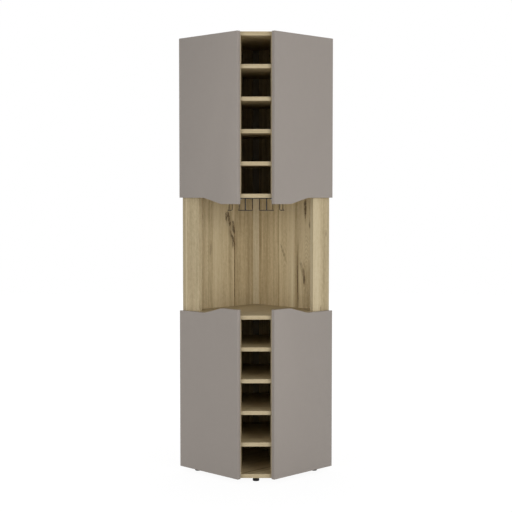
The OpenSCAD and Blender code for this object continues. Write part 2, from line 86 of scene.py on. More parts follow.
class Value:
    """A shader value with the sums that Python writes with operators."""

    def __init__(self, finish, socket):
        self.finish = finish
        self.socket = socket

    def math(self, operation, *values):
        return self.finish.node("ShaderNodeMath", {"operation": operation}, dict(enumerate(values)))

    def __add__(self, other):
        return self.math("ADD", self, other)

    def __sub__(self, other):
        return self.math("SUBTRACT", self, other)

    def __mul__(self, other):
        return self.math("MULTIPLY", self, other)

    def __truediv__(self, other):
        return self.math("DIVIDE", self, other)

    def __rsub__(self, other):
        return self.math("SUBTRACT", other, self)

    def __rtruediv__(self, other):
        return self.math("DIVIDE", other, self)

    def __abs__(self):
        return self.math("ABSOLUTE", self)

    __radd__ = __add__
    __rmul__ = __mul__


class Finish:
    """A material's nodes, with one method that adds any node and short forms of common ones."""

    def __init__(self, name, owner=None):
        self.material = owner or bpy.data.materials.new(name)
        self.material.use_nodes = True
        self.tree = self.material.node_tree
        self.tree.nodes.clear()

    def node(self, kind, settings=None, sockets=None, output=0):
        made = self.tree.nodes.new(kind)
        settings = dict(settings or {})
        stops = settings.pop("stops", None)
        for name, value in settings.items():
            setattr(made, name, value)
        if stops:
            ramp = made.color_ramp
            while len(ramp.elements) < len(stops):
                ramp.elements.new(1.0)
            for element, (place, colour) in zip(ramp.elements, stops):
                element.position = place
                element.color = colour
        for name, value in (sockets or {}).items():
            if isinstance(value, Value):
                self.tree.links.new(value.socket, made.inputs[name])
            else:
                made.inputs[name].default_value = value
        return Value(self, made.outputs[output]) if len(made.outputs) else None

    def split(self, vector):
        """The three parts of a vector."""
        return [self.node("ShaderNodeSeparateXYZ", sockets={0: vector}, output=k) for k in range(3)]

    def place(self):
        """X, Y and Z of the point in the object's own coordinates."""
        return self.split(self.node("ShaderNodeTexCoord", output="Object"))

    def facing(self):
        """X, Y and Z of the surface's direction in the object's own coordinates."""
        return self.split(self.node("ShaderNodeTexCoord", output="Normal"))

    def point(self, x, y, z):
        return self.node("ShaderNodeCombineXYZ", sockets={0: x, 1: y, 2: z})

    def noise(self, point, scale=1.0, detail=2.0, roughness=0.5):
        return self.node("ShaderNodeTexNoise", {"noise_dimensions": "3D"}, {
            "Vector": point, "Scale": scale, "Detail": detail, "Roughness": roughness})

    def cells(self, point, scale):
        return self.node("ShaderNodeTexVoronoi", {"feature": "F1"}, {
            "Vector": point, "Scale": scale}, output="Distance")

    def sine(self, value):
        return self.node("ShaderNodeMath", {"operation": "SINE"}, {0: value})

    def rise(self, value, low, high):
        """0 below low, 1 above high and smooth between."""
        return self.node("ShaderNodeMapRange", {"interpolation_type": "SMOOTHSTEP"}, {
            "Value": value, "From Min": low, "From Max": high})

    def stretch(self, value, low, high, soft):
        """1 between low and high, with soft ends."""
        begun = self.rise(value, low - soft, low + soft)
        return begun * (1 - self.rise(value, high - soft, high + soft))

    def oval(self, side, far, full=0.0):
        """1 in the middle of an oval and 0 at its edge, from a place in half widths and half
        lengths. It stays 1 as far as full."""
        return 1 - self.rise(side * side + far * far, full, 1.0)

    def mix(self, share, first, second, blend="MIX"):
        """A mix of two colours. Sockets 6 and 7 and output 2 are the Mix node's colour ones."""
        return self.node("ShaderNodeMix", {"data_type": "RGBA", "blend_type": blend},
                         {0: share, 6: first, 7: second}, output=2)

    def tint(self, colour, factor):
        """A colour made lighter or darker by a value about 1."""
        grey = self.node("ShaderNodeCombineColor", sockets={0: factor, 1: factor, 2: factor})
        return self.mix(1.0, colour, grey, "MULTIPLY")

    def surface(self, colour, roughness, bump, bump_depth, **constants):
        raised = self.node("ShaderNodeBump", sockets={"Height": bump, "Distance": bump_depth})
        sockets = {"Base Color": colour, "Roughness": roughness, "Normal": raised}
        sockets.update({name.replace("_", " "): value for name, value in constants.items()})
        shader = self.node("ShaderNodeBsdfPrincipled", sockets=sockets)
        self.node("ShaderNodeOutputMaterial", sockets={"Surface": shader})
        return self.material


# Oak print: sRGB tones from its darkest late wood to its palest early wood
OAK_DARK = to_linear((135, 116, 84))
OAK_DEEP = to_linear((165, 148, 114))
OAK_MID = to_linear((192, 175, 140))
OAK_PALE = to_linear((215, 202, 169))
OAK_REDDISH = to_linear((172, 138, 106))
OAK_HALO = to_linear((128, 103, 70))
OAK_KNOT = to_linear((58, 46, 33))
OAK_RAMP = ((0.0, OAK_DARK), (0.25, OAK_DEEP), (0.5, OAK_MID), (1.0, OAK_PALE))

# Layers of the print: changes per metre across and along the grain, detail and roughness
OAK_LAYERS = (
    (42, 0.9, 2.0, 0.5),      # broad bands
    (170, 2.4, 3.0, 0.6),     # streaks
    (900, 9, 3.0, 0.6),       # fine fibres
    (1500, 75, 1.0, 0.5),     # flecks
    (120, 55, 5.0, 0.75),     # mottle
)
# Changes per metre, across and along, of the wandering grain, the rings' waves and the blush
WANDER_RATES = (6, 2)
WAVE_RATES = (9, 2.3)
BLUSH_RATES = (60, 1.7)
# How strongly the layers change the tone
BROAD_TONE = 0.8
STREAK_TONE = 0.6
MOTTLE_TONE = 0.7
RING_TONE = 0.015
# Where noise begins to show as a blush, a fleck, an open pore, a split or a knot's core, and
# where it shows in full
BLUSH_SHOWS = (0.52, 0.8)
FLECK_SHOWS = (0.62, 0.8)
PORE_SHOWS = (0.4, 0.6)
SPLIT_SHOWS = (0.2, 0.62)
CORE_SHOWS = (0.85, 1.15)

GRAIN_WANDER = 0.022      # how far the grain wanders sideways, in metres
RING_RATE = 760           # growth rings: how closely they follow each other, and their waviness
RING_WAVE = 65
PLANK_JOINT = 0.002       # half the width of the change of tone between planks, in metres
LINE_CORE = 0.3           # where a line starts to fade and where it ends, in half widths
LINE_REACH = 1.6
LINE_FADE = 0.2           # the share of a line's length over which it fades at each end
ARCH_BOW = 1.6            # an arch's figure: its bow, its steps, their number and waviness
ARCH_STEP = 2.2
ARCH_LINES = 14
ARCH_WAVE = 12
BLUSH_SHARE = 0.15
PORE_SHADE = 0.42         # how dark and how deep the open pores are
PORE_DEPTH = 0.3
SPLIT_RAGGED = 2.6        # how much the mottle breaks a split into flecks
SPLIT_HALO = 0.45         # how strong a split's brown halo and its dark flecks are
SPLIT_DARK = 0.78
KNOT_STRETCH = 0.3        # across over along, for a knot and for the grain round it
KNOT_SWERVE = 1.8         # how far the grain bends round a knot, and how softly
KNOT_SOFTNESS = 0.6
KNOT_HALO = 0.6           # how strong a knot's halo and its dark core are
KNOT_DARK = 0.8
OAK_ROUGHNESS = 0.54


def oak_print(finish, along, across, depth, planks=((0.0, 0.0),), lines=(), splits=(), knots=(),
              arches=(), calm=1.0, seed=0.0):
    """Colour, roughness and height of printed oak whose grain runs along one coordinate.
    Places are in metres. A plank is (start, tone) across the grain. A line is (across, half
    width, tone, from, to). A split is (across, along, half width, half length, lean,
    strength). A knot is (across, along, radius, strength). An arch is (across, along, half
    width, half length, strength). Calm scales the plain grain."""
    flow = across
    for k_across, k_along, radius, _ in knots:
        side = across - k_across
        length = (along - k_along) * KNOT_STRETCH
        reach = side * side + length * length
        area = radius * radius
        flow = flow - side * (area * KNOT_SWERVE) / (reach + area * KNOT_SOFTNESS)

    def plain_noise(place, rates, third):
        return finish.noise(finish.point(place * rates[0], along * rates[1], third))

    bent = flow + (plain_noise(across, WANDER_RATES, depth + seed) - 0.5) * GRAIN_WANDER

    def layer(across_rate, along_rate, detail, roughness):
        point = finish.point(bent * across_rate, along * along_rate, depth * across_rate + seed)
        return finish.noise(point, detail=detail, roughness=roughness)

    broad, streak, fine, fleck, mottle = (layer(*rates) for rates in OAK_LAYERS)
    wave = plain_noise(bent, WAVE_RATES, seed)
    rings = finish.sine(bent * RING_RATE + wave * RING_WAVE)
    tone = (broad - 0.5) * (BROAD_TONE * calm) + (streak - 0.5) * (STREAK_TONE * calm)
    tone = tone + (fine - 0.5) + rings * (RING_TONE * calm) + (mottle - 0.5) * MOTTLE_TONE
    tone = tone + planks[0][1]
    for (_, before), (start, after) in zip(planks, planks[1:]):
        passed = finish.rise(across, start - PLANK_JOINT, start + PLANK_JOINT)
        tone = tone + passed * (after - before)
    for l_across, half_width, change, low, high in lines:
        off = abs(across - l_across)
        near = 1 - finish.rise(off, half_width * LINE_CORE, half_width * LINE_REACH)
        tone = tone + near * finish.stretch(along, low, high, (high - low) * LINE_FADE) * change
    for a_across, a_along, half_width, half_length, strength in arches:
        side = (across - a_across) / half_width
        far = (along - a_along) / half_length
        bow = (side * side * ARCH_BOW + far * ARCH_STEP) * ARCH_LINES
        figure = finish.sine(bow + wave * ARCH_WAVE)
        tone = tone + figure * finish.oval(side, far, 0.2) * strength
    light = finish.rise(tone, -1.0, 1.0)
    colour = finish.node("ShaderNodeValToRGB", {"stops": OAK_RAMP}, {0: light})
    blush = plain_noise(bent, BLUSH_RATES, seed + 3)
    colour = finish.mix(finish.rise(blush, *BLUSH_SHOWS) * BLUSH_SHARE, colour, OAK_REDDISH)
    pores = finish.rise(fleck, *FLECK_SHOWS) * finish.rise(streak, *PORE_SHOWS)
    colour = finish.mix(pores * PORE_SHADE, colour, OAK_HALO)
    dark = pores * PORE_DEPTH
    for s_across, s_along, half_width, half_length, lean, strength in splits:
        side = (across - s_across - (along - s_along) * lean) / half_width
        far = (along - s_along) / half_length
        near = finish.oval(side, far)
        ragged = near * 0.5 + (mottle - 0.5) * SPLIT_RAGGED
        speck = finish.rise(ragged, *SPLIT_SHOWS) * finish.rise(near, 0.0, 0.3)
        colour = finish.mix(near * (strength * SPLIT_HALO), colour, OAK_HALO)
        colour = finish.mix(speck * (strength * SPLIT_DARK), colour, OAK_KNOT)
        dark = dark + speck * strength
    for k_across, k_along, radius, strength in knots:
        side = (across - k_across) / radius
        far = (along - k_along) * KNOT_STRETCH / radius
        near = finish.oval(side, far)
        core = finish.rise(near * 0.8 + mottle, *CORE_SHOWS)
        colour = finish.mix(near * (strength * KNOT_HALO), colour, OAK_HALO)
        colour = finish.mix(core * (strength * KNOT_DARK), colour, OAK_KNOT)
        dark = dark + core * strength
    height = (streak - 0.5) * 0.4 + (fine - 0.5) * 0.6 - dark
    roughness = OAK_ROUGHNESS + (fine - 0.5) * 0.16 - (light - 0.5) * 0.08 + dark * 0.1
    return colour, roughness, height


def oak_surface(finish, colour, roughness, height):
    return finish.surface(colour, roughness, height, 0.16 * MM, Specular_IOR_Level=0.35)


def plan_coordinates(finish):
    """p, the distance from the right wall, q, from the left wall, and z."""
    x, y, z = finish.place()
    p = (WALL_CORNER_Y - y - x) * (1 / ROOT2)
    q = (WALL_CORNER_Y - y + x) * (1 / ROOT2)
    return p, q, z


def upright_oak(name, side, start, seed, edge_from, edge_tone, painted_light_and_shade=1.0, painted_shade_in_units=None,
                **figure):
    """Oak whose grain stands upright on a panel along the LEFT or RIGHT wall. Places across its
    grain are distances along that wall, true on the face that lies start away from it. Past
    edge_from along the wall comes the banded edge. Its overall tint lightens or darkens the whole
    panel as painted light, and its tint in the units darkens its parts below and above the niche
    as painted shading."""
    finish = Finish(name)
    p, q, z = plan_coordinates(finish)
    along_wall, off_wall = (p, q) if side == LEFT else (q, p)
    across = along_wall + off_wall - start
    colour, roughness, height = oak_print(finish, z, across, off_wall, seed=seed, **figure)
    edge = finish.rise(along_wall, edge_from - 0.4 * MM, edge_from - 0.1 * MM)
    # Painted shading: below and above the niche the tint gives way to the darker tint in the units
    if painted_shade_in_units:
        open_part = finish.stretch(z, NICHE_FLOOR, NICHE_CEILING, 1 * MM)
        painted_light_and_shade = open_part * (painted_light_and_shade - painted_shade_in_units) + painted_shade_in_units
    # The overall tint lightens or darkens the whole panel as painted light
    return oak_surface(finish, finish.tint(colour, edge * edge_tone + painted_light_and_shade), roughness, height)


def partition_oak(name, seed):
    """Oak whose grain stands upright on the partitions beside the bottle column."""
    finish = Finish(name)
    x, y, z = finish.place()
    return oak_surface(finish, *oak_print(finish, z, y + x, x, seed=seed))


def lying_oak(name, seed, edge_tone, painted_face_shade=0.0, turned=False, **figure):
    """Oak on a lying board: the grain runs across the cabinet on its faces, or turned along
    the left wall, and along every edge. The face tone darkens the faces as painted shading."""
    finish = Finish(name)
    x, y, z = finish.place()
    nx, ny, nz = finish.facing()
    edge = 1 - finish.rise(abs(nz), 0.3, 0.7)
    along_edge = y * nx - x * ny
    along_face, across_face = x, y
    if turned:
        along_face, across_face, _ = plan_coordinates(finish)
    along = along_face * (1 - edge) + along_edge * edge
    across = across_face * (1 - edge) + z * edge
    depth = z * (1 - edge)
    colour, roughness, height = oak_print(finish, along, across, depth, seed=seed, **figure)
    # Painted shading: the faces take the darker face tone, and the edges take the banded edge's tone
    colour = finish.tint(colour, edge * (edge_tone - painted_face_shade) + (1 + painted_face_shade))
    return oak_surface(finish, colour, roughness, height)


# sRGB colours of the other finishes
TAUPE = to_linear((152, 144, 137))
WIRE_BLACK = to_linear((27, 27, 29))
FOOT_BLACK = to_linear((18, 18, 19))
FLOOR_DUST = to_linear((120, 115, 108))
NICKEL = to_linear((196, 194, 190))
ZINC = to_linear((205, 208, 211))
BEECH = to_linear((222, 193, 150))
BEECH_FLECK = to_linear((176, 134, 92))
MILKY = to_linear((214, 216, 213))


def taupe_laminate():
    """Matte door fronts with a fine leathery grain and faint clouding."""
    finish = Finish("taupe_laminate")
    point = finish.point(*finish.place())
    cloud = finish.noise(point, scale=5.0, detail=3.0)
    patch = finish.noise(point, scale=42.0)
    grain = finish.noise(point, scale=900.0, roughness=0.6)
    pebble = finish.cells(point, scale=1300.0)
    tone = 1 + (cloud - 0.5) * 0.05 + (patch - 0.5) * 0.035 + (grain - 0.5) * 0.09
    roughness = 0.56 + (grain - 0.5) * 0.18 + (cloud - 0.5) * 0.06
    height = pebble + grain * 0.6
    return finish.surface(finish.tint(TAUPE, tone), roughness, height, 0.06 * MM,
                          Specular_IOR_Level=0.4)


def powder_coat():
    """Black wire with the fine orange peel of powder coat."""
    finish = Finish("black_powder_coat")
    point = finish.point(*finish.place())
    peel = finish.noise(point, scale=1400.0)
    worn = finish.noise(point, scale=60.0, detail=3.0)
    colour = finish.tint(WIRE_BLACK, 0.9 + (worn - 0.5) * 0.5)
    roughness = 0.5 + (peel - 0.5) * 0.2
    return finish.surface(colour, roughness, peel, 0.08 * MM, Specular_IOR_Level=0.35)


def moulded_plastic():
    """Black feet with a spark-eroded grain and a little dust low down."""
    finish = Finish("black_moulded_plastic")
    x, y, z = finish.place()
    point = finish.point(x, y, z)
    grain = finish.noise(point, scale=1100.0)
    low_down = 1 - finish.rise(z, 0.0, 4 * MM)
    dust = finish.noise(point, scale=90.0, detail=3.0) * low_down
    colour = finish.mix(dust * 0.12, FOOT_BLACK, FLOOR_DUST)
    roughness = 0.6 + (grain - 0.5) * 0.2
    return finish.surface(colour, roughness, grain, 0.1 * MM, Specular_IOR_Level=0.2)


def plated_steel(name, plate, roughness, seed):
    """Nickel or zinc plate with fine drawing marks and faint clouding."""
    finish = Finish(name)
    x, y, z = finish.place()
    cloud = finish.noise(finish.point(x + seed, y, z), scale=140.0, detail=3.0)
    marks = finish.noise(finish.point(x * 300, y * 300, z * 2600), detail=3.0)
    colour = finish.tint(plate, 0.95 + (cloud - 0.5) * 0.22)
    roughness = roughness + (marks - 0.5) * 0.16 + (cloud - 0.5) * 0.12
    return finish.surface(colour, roughness, marks, 0.02 * MM, Metallic=1.0)


def raw_beech():
    """Dowels of raw beech with short flecks along the grain."""
    finish = Finish("raw_beech")
    x, y, z = finish.place()
    fleck = finish.noise(finish.point(x * 900, y * 900, z * 260), detail=3.0)
    colour = finish.mix(finish.rise(fleck, 0.5, 0.75), BEECH, BEECH_FLECK)
    return finish.surface(colour, 0.62 + (fleck - 0.5) * 0.2, fleck, 0.08 * MM)


def soft_bumper():
    """Milky soft dots that damp the doors."""
    finish = Finish("soft_bumper")
    haze = finish.noise(finish.point(*finish.place()), scale=700.0)
    colour = finish.tint(MILKY, 0.95 + (haze - 0.5) * 0.12)
    roughness = 0.3 + (haze - 0.5) * 0.2
    return finish.surface(colour, roughness, haze, 0.05 * MM, Transmission_Weight=0.25)


# Figure of the rear panels, by the distance from the room's corner and the height, in metres, with each
# one's tint of painted light and shading
# The left wall's tint of 1.1 lightens the whole panel as painted light
LEFT_WALL = {
    "planks": ((0.0, -0.28), (0.1475, 0.02), (0.280, -0.04)), "painted_light_and_shade": 1.1,
    "lines": (
        (0.1478, 0.0035, -0.75, 0.50, 1.02), (0.280, 0.003, -0.18, 0.2, 1.7),
        (0.247, 0.022, 0.16, 0.2, 1.7), (0.170, 0.013, -0.2, 0.2, 1.7),
        (0.330, 0.010, -0.12, 0.5, 1.1), (0.070, 0.014, -0.08, 0.4, 1.5),
        (0.128, 0.006, 0.14, 0.4, 1.4), (0.195, 0.006, -0.1, 0.5, 1.0),
    ),
    "splits": (
        (0.1805, 1.052, 0.010, 0.048, 0.22, 1.0), (0.196, 1.060, 0.009, 0.030, 0.05, 0.9),
        (0.153, 1.012, 0.011, 0.044, 0.15, 1.0), (0.160, 0.972, 0.010, 0.042, 0.50, 0.9),
        (0.158, 0.943, 0.007, 0.026, 0.0, 1.0), (0.166, 1.000, 0.032, 0.110, 0.25, 0.25),
        (0.147, 0.945, 0.006, 0.050, 0.0, 0.6), (0.1478, 0.80, 0.0035, 0.24, 0.0, 0.7),
        (0.287, 0.928, 0.009, 0.045, -0.1, 0.35),
    ),
    "arches": ((0.305, 0.90, 0.022, 0.10, 0.08),),
}
# The right wall's tint of 1.22 lightens the whole panel as painted light
RIGHT_WALL = {
    "planks": ((0.0, -0.16), (0.159, 0.0), (0.262, 0.0)), "painted_light_and_shade": 1.22,
    "lines": (
        (0.1535, 0.005, -0.3, 0.2, 1.7), (0.1625, 0.0035, 0.2, 0.84, 1.4),
        (0.268, 0.005, -0.5, 0.60, 0.93), (0.258, 0.007, -0.25, 0.2, 1.7),
        (0.2365, 0.004, 0.25, 0.6, 1.7), (0.226, 0.016, 0.14, 0.2, 1.7),
        (0.045, 0.008, -0.1, 0.2, 1.7), (0.085, 0.004, -0.1, 0.5, 1.3),
        (0.318, 0.024, -0.3, 0.62, 0.86), (0.362, 0.006, -0.12, 0.6, 1.3),
    ),
    "splits": (
        (0.311, 1.110, 0.011, 0.060, 0.0, 0.9), (0.311, 1.083, 0.006, 0.050, 0.0, 1.0),
        (0.184, 0.905, 0.008, 0.055, -0.45, 0.45), (0.267, 0.79, 0.0048, 0.15, -0.042, 0.9),
        (0.297, 0.830, 0.013, 0.060, -0.35, 0.45), (0.336, 1.030, 0.007, 0.024, 0.1, 0.55),
    ),
    "knots": ((0.3045, 0.829, 0.007, 0.3), (0.305, 0.796, 0.0085, 0.75)),
    "arches": ((0.318, 0.93, 0.024, 0.09, 0.16), (0.19, 0.93, 0.03, 0.12, 0.07)),
}
LEFT_POST = {
    "planks": ((0.0, -0.14),), "calm": 0.5,
    "lines": ((0.0205, 0.0055, 0.3, 0.0, 1.8), (0.055, 0.010, -0.08, 0.3, 1.5)),
}
RIGHT_POST = {
    "planks": ((0.0, -0.1),), "calm": 0.5,
    "lines": ((0.080, 0.022, 0.3, 0.0, 1.8), (0.032, 0.008, -0.12, 0.2, 1.6)),
    "splits": ((0.052, 0.683, 0.005, 0.018, -0.1, 0.9), (0.020, 0.995, 0.006, 0.022, 0.0, 0.4)),
}
# The batten's tint of 0.45 in the units darkens it below and above the niche as painted shading
BATTEN = {"planks": ((0.0, -0.05),), "calm": 0.5, "painted_shade_in_units": 0.45,
          "lines": ((0.030, 0.006, 0.15, 0.0, 1.8),)}

# How far the boards reach along a wall, and the posts' inner edges off it. A post stands
# across its own side's wall, so its grain is placed along the other one.
BOARD_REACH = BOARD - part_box("base_board")[0].x * ROOT2
POST_REACH = (BOARD_REACH - BOARD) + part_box("niche_post_left")[1].x * ROOT2
oak_finishes = {
    "rear_left_panel": upright_oak("oak_left_panel", LEFT, BOARD, seed=1.7,
                                   edge_from=BOARD_REACH, edge_tone=-0.28, **LEFT_WALL),
    "rear_right_panel": upright_oak("oak_right_panel", RIGHT, BOARD, seed=7.1,
                                    edge_from=BOARD_REACH, edge_tone=-0.36, **RIGHT_WALL),
    "niche_post_left": upright_oak("oak_left_post", RIGHT, BOARD_REACH, seed=12.3,
                                   edge_from=POST_REACH, edge_tone=-0.05, **LEFT_POST),
    "niche_post_right": upright_oak("oak_right_post", LEFT, BOARD_REACH, seed=17.9,
                                    edge_from=POST_REACH, edge_tone=-0.2, **RIGHT_POST),
    "corner_batten": upright_oak("oak_batten", LEFT, BOARD, seed=23.0,
                                 edge_from=BOARD_REACH, edge_tone=0.0, **BATTEN),
}
partition_finish = partition_oak("oak_partitions", 31.0)
EDGE_BAND = -0.1    # how much darker the banded edges are
# In the lying boards below, the number after EDGE_BAND is the face tone, painted shading that darkens the
# faces
shelf_finishes = [lying_oak("oak_shelves_%d" % k, 40.0 + 3.7 * k, EDGE_BAND, -0.12) for k in (1, 2)]
wide_finish = lying_oak("oak_wide_boards", 57.0, EDGE_BAND, -0.18, turned=True)
BASE_LINES = ((0.3285, 0.005, -1.1, 0.0, 0.6), (0.352, 0.008, -0.25, 0.0, 0.6))
TOP_LINES = ((0.306, 0.005, -0.8, 0.0, 0.6), (0.325, 0.004, -0.5, 0.0, 0.6),
             (0.285, 0.006, -0.3, 0.0, 0.6))
base_finish = lying_oak("oak_base_board", 71.0, EDGE_BAND, -0.12, turned=True, lines=BASE_LINES)
top_finish = lying_oak("oak_top_board", 77.0, EDGE_BAND, -0.06, turned=True, lines=TOP_LINES)
side_shelf_finish = lying_oak("oak_side_shelves", 63.0, 0.0)
taupe = taupe_laminate()
black_wire = powder_coat()
black_plastic = moulded_plastic()
nickel = plated_steel("nickel_plate", NICKEL, 0.3, 0.0)
zinc = plated_steel("zinc_plate", ZINC, 0.36, 5.0)
beech = raw_beech()
bumper_finish = soft_bumper()


def node_finish(name):
    """The finish of a construction piece, by its name."""
    if name in oak_finishes:
        return oak_finishes[name]
    if "partition" in name:
        return partition_finish
    if "column_shelf" in name:
        return shelf_finishes[int(name[-1]) % 2]
    if "side_shelf" in name:
        return side_shelf_finish
    if name.endswith("_board"):
        return {"base_board": base_finish, "top_board": top_finish}.get(name, wide_finish)
    if "_door_" in name:
        return taupe
    if name == "glass_rack":
        return black_wire
    if name.startswith("foot_") and name != "foot_screws":
        return black_plastic
    if name == "dowels":
        return beech
    if name == "door_bumpers":
        return bumper_finish
    if "hinge" in name and "screws" not in name:
        return nickel
    return zinc


# Edge rounding by kind of piece, in millimetres, in the order in which the kinds are looked for
ROUNDED = {"screws": 0, "bumpers": 0, "brackets": 0.3, "rack": 0, "foot": 0.4, "cups": 0.2,
           "links": 0.2, "arms": 0.2, "plates": 0.3, "pins": 0.4, "dowels": 0.6, "board": 0.5,
           "panel": 0.5, "post": 0.6, "partition": 0.5, "shelf": 0.5, "door": 0.5, "batten": 0.6}
JOINED_WITHIN = 0.01 * MM     # corners this close are one
FLAT_WITHIN = math.radians(0.5)
SHARP_FROM = math.radians(40)
ROUNDING_STEPS = 2


def dress_node(name, piece):
    """Gives a construction piece its finish and small rounded edges."""
    piece.data.materials.clear()
    piece.data.materials.append(node_finish(name))
    width = next((width for kind, width in ROUNDED.items() if kind in name), 0)
    if not width:
        return
    weld = piece.modifiers.new("joined", "WELD")
    weld.merge_threshold = JOINED_WITHIN
    flat = piece.modifiers.new("flat_faces", "DECIMATE")
    flat.decimate_type = "DISSOLVE"
    flat.angle_limit = FLAT_WITHIN
    rounded = piece.modifiers.new("rounded_edges", "BEVEL")
    rounded.width = width * MM
    rounded.segments = ROUNDING_STEPS
    rounded.limit_method = "ANGLE"
    rounded.angle_limit = SHARP_FROM
    rounded.use_clamp_overlap = False


for node_name, node_piece in nodes.items():
    dress_node(node_name, node_piece)


def separate_solids(name):
    """The corners of each separate solid of a construction piece."""
    mesh = nodes[name].data
    spots = [tuple(round(value, 5) for value in corner.co) for corner in mesh.vertices]
    parent = {spot: spot for spot in spots}

    def root(spot):
        while parent[spot] != spot:
            spot = parent[spot]
        return spot

    for face in mesh.polygons:
        first = root(spots[face.vertices[0]])
        for corner in face.vertices:
            parent[root(spots[corner])] = first
    solids = {}
    for spot in parent:
        solids.setdefault(root(spot), []).append(Vector(spot))
    return list(solids.values())


def standing(corners, thin):
    """Where a round solid stands, as a matrix whose z runs along it from its wide end, and
    its (distance, radius) rings. A thin one stands across its shortest side, outwards."""
    def span(direction):
        reach = [corner.dot(direction) for corner in corners]
        return max(reach) - min(reach)

    directions = (P_DIRECTION, Q_DIRECTION, UP)
    axis = min(directions, key=span) if thin else max(directions, key=span)
    sides = [direction for direction in directions if direction is not axis]
    middle = Vector((0, 0, 0))
    for side in sides:
        reach = [corner.dot(side) for corner in corners]
        middle = middle + side * ((max(reach) + min(reach)) / 2)
    rings = {}
    for corner in corners:
        along = corner.dot(axis)
        off = (corner - axis * along - middle).length
        rings[round(along, 4)] = max(off, rings.get(round(along, 4), 0))
    rings = sorted(rings.items())
    if not thin and rings[-1][1] > rings[0][1]:
        axis = -axis
        rings = sorted((-along, radius) for along, radius in rings)
    start = rings[0][0]
    place = Matrix((sides[0], axis.cross(sides[0]), axis)).transposed().to_4x4()
    place.translation = middle + axis * start
    return place, [(along - start, radius) for along, radius in rings]


def turned(rings, sides):
    """A round solid that stands up from the origin, from its (distance, radius) rings."""
    bpy.ops.object.select_all(action="DESELECT")
    reached, wide = rings[0]
    bpy.ops.mesh.primitive_circle_add(vertices=sides, radius=wide, fill_type="NGON",
                                      location=(0, 0, reached))
    bpy.ops.object.transform_apply(location=True, rotation=True, scale=True)
    bpy.ops.object.mode_set(mode="EDIT")
    bpy.ops.mesh.select_all(action="SELECT")
    for along, radius in rings[1:]:
        bpy.ops.mesh.extrude_region_move(TRANSFORM_OT_translate={"value": (0, 0, along - reached)})
        bpy.ops.transform.resize(value=(radius / wide, radius / wide, 1),
                                 center_override=(0, 0, along))
        reached, wide = along, radius
    bpy.ops.mesh.select_all(action="SELECT")
    bpy.ops.mesh.normals_make_consistent(inside=False)
    bpy.ops.object.mode_set(mode="OBJECT")
    return bpy.context.object


def cut_out(piece, cutter):
    """Cuts one solid out of another and drops the cutter."""
    bpy.ops.object.select_all(action="DESELECT")
    bpy.context.view_layer.objects.active = piece
    recess = piece.modifiers.new("recess", "BOOLEAN")
    recess.operation = "DIFFERENCE"
    recess.solver = "EXACT"
    recess.object = cutter
    bpy.ops.object.modifier_apply(modifier=recess.name)
    bpy.data.objects.remove(cutter)


# Screws: shares of the shank's radius or of the head's
THREAD_ROOT = 0.78
SOCKET_WIDTH = 0.46
RECESS_DEPTH = 0.8            # a share of the head's height
SLOT_NARROWED = 0.26          # a cross recess's slot, from a square
COARSE_PITCH = 3 * MM
FINE_PITCH = 1.4 * MM
SMOOTH_BELOW = math.radians(32)


def thread(start, length, radius, pitch):
    """Rings of thread inside a shank's radius, and the pointed end."""
    root = radius * THREAD_ROOT
    rings = [(start, root)]
    turns = int((length - start - radius * 1.5) / pitch)
    for k in range(turns):
        foot = start + (k + 0.4) * pitch
        rings += [(foot, root), (foot + pitch * 0.3, radius), (foot + pitch * 0.6, root)]
    return rings + [(length - radius, radius * 0.7), (length, radius * 0.15)]


def socket_screw(rings):
    """A panel screw with a flat head, a six-sided socket, a smooth neck and coarse thread."""
    (_, head), (head_height, _), (neck_end, neck), (length, shank) = rings
    bevel = 0.4 * MM
    outline = [(0, head - bevel), (bevel, head), (head_height, head), (head_height, neck),
               (neck_end - bevel, neck)]
    screw = turned(outline + thread(neck_end, length, shank, COARSE_PITCH), 24)
    socket = head * SOCKET_WIDTH
    cut_out(screw, turned([(-bevel, socket), (head_height * RECESS_DEPTH, socket)], 6))
    return screw


def cross_screw(rings):
    """A screw with a low rounded head, a cross recess and fine thread."""
    head, head_height = rings[0][1], rings[1][0]
    length, shank = rings[-1]
    outline = [(0, head * 0.6), (head_height * 0.15, head * 0.85),
               (head_height * 0.45, head * 0.97), (head_height * 0.7, head), (head_height, head)]
    screw = turned(outline + thread(head_height, length, shank, FINE_PITCH), 20)
    for quarter in (0, 90):
        slot = turned([(-0.2 * MM, head * 0.75), (head_height * RECESS_DEPTH, head * 0.42)], 4)
        slot.rotation_euler = (0, 0, math.radians(45))
        bpy.ops.object.transform_apply(location=True, rotation=True, scale=True)
        slot.scale = (1, SLOT_NARROWED, 1)
        slot.rotation_euler = (0, 0, math.radians(quarter))
        bpy.ops.object.transform_apply(location=True, rotation=True, scale=True)
        cut_out(screw, slot)
    return screw


def soft_dome(rings):
    """A soft dot with a domed top."""
    (_, radius), (height, _) = rings[0], rings[-1]
    return turned([(0, radius * 0.95), (height * 0.12, radius), (height * 0.35, radius * 0.97),
                   (height * 0.62, radius * 0.84), (height * 0.85, radius * 0.58),
                   (height * 0.97, radius * 0.28), (height, radius * 0.08)], 24)


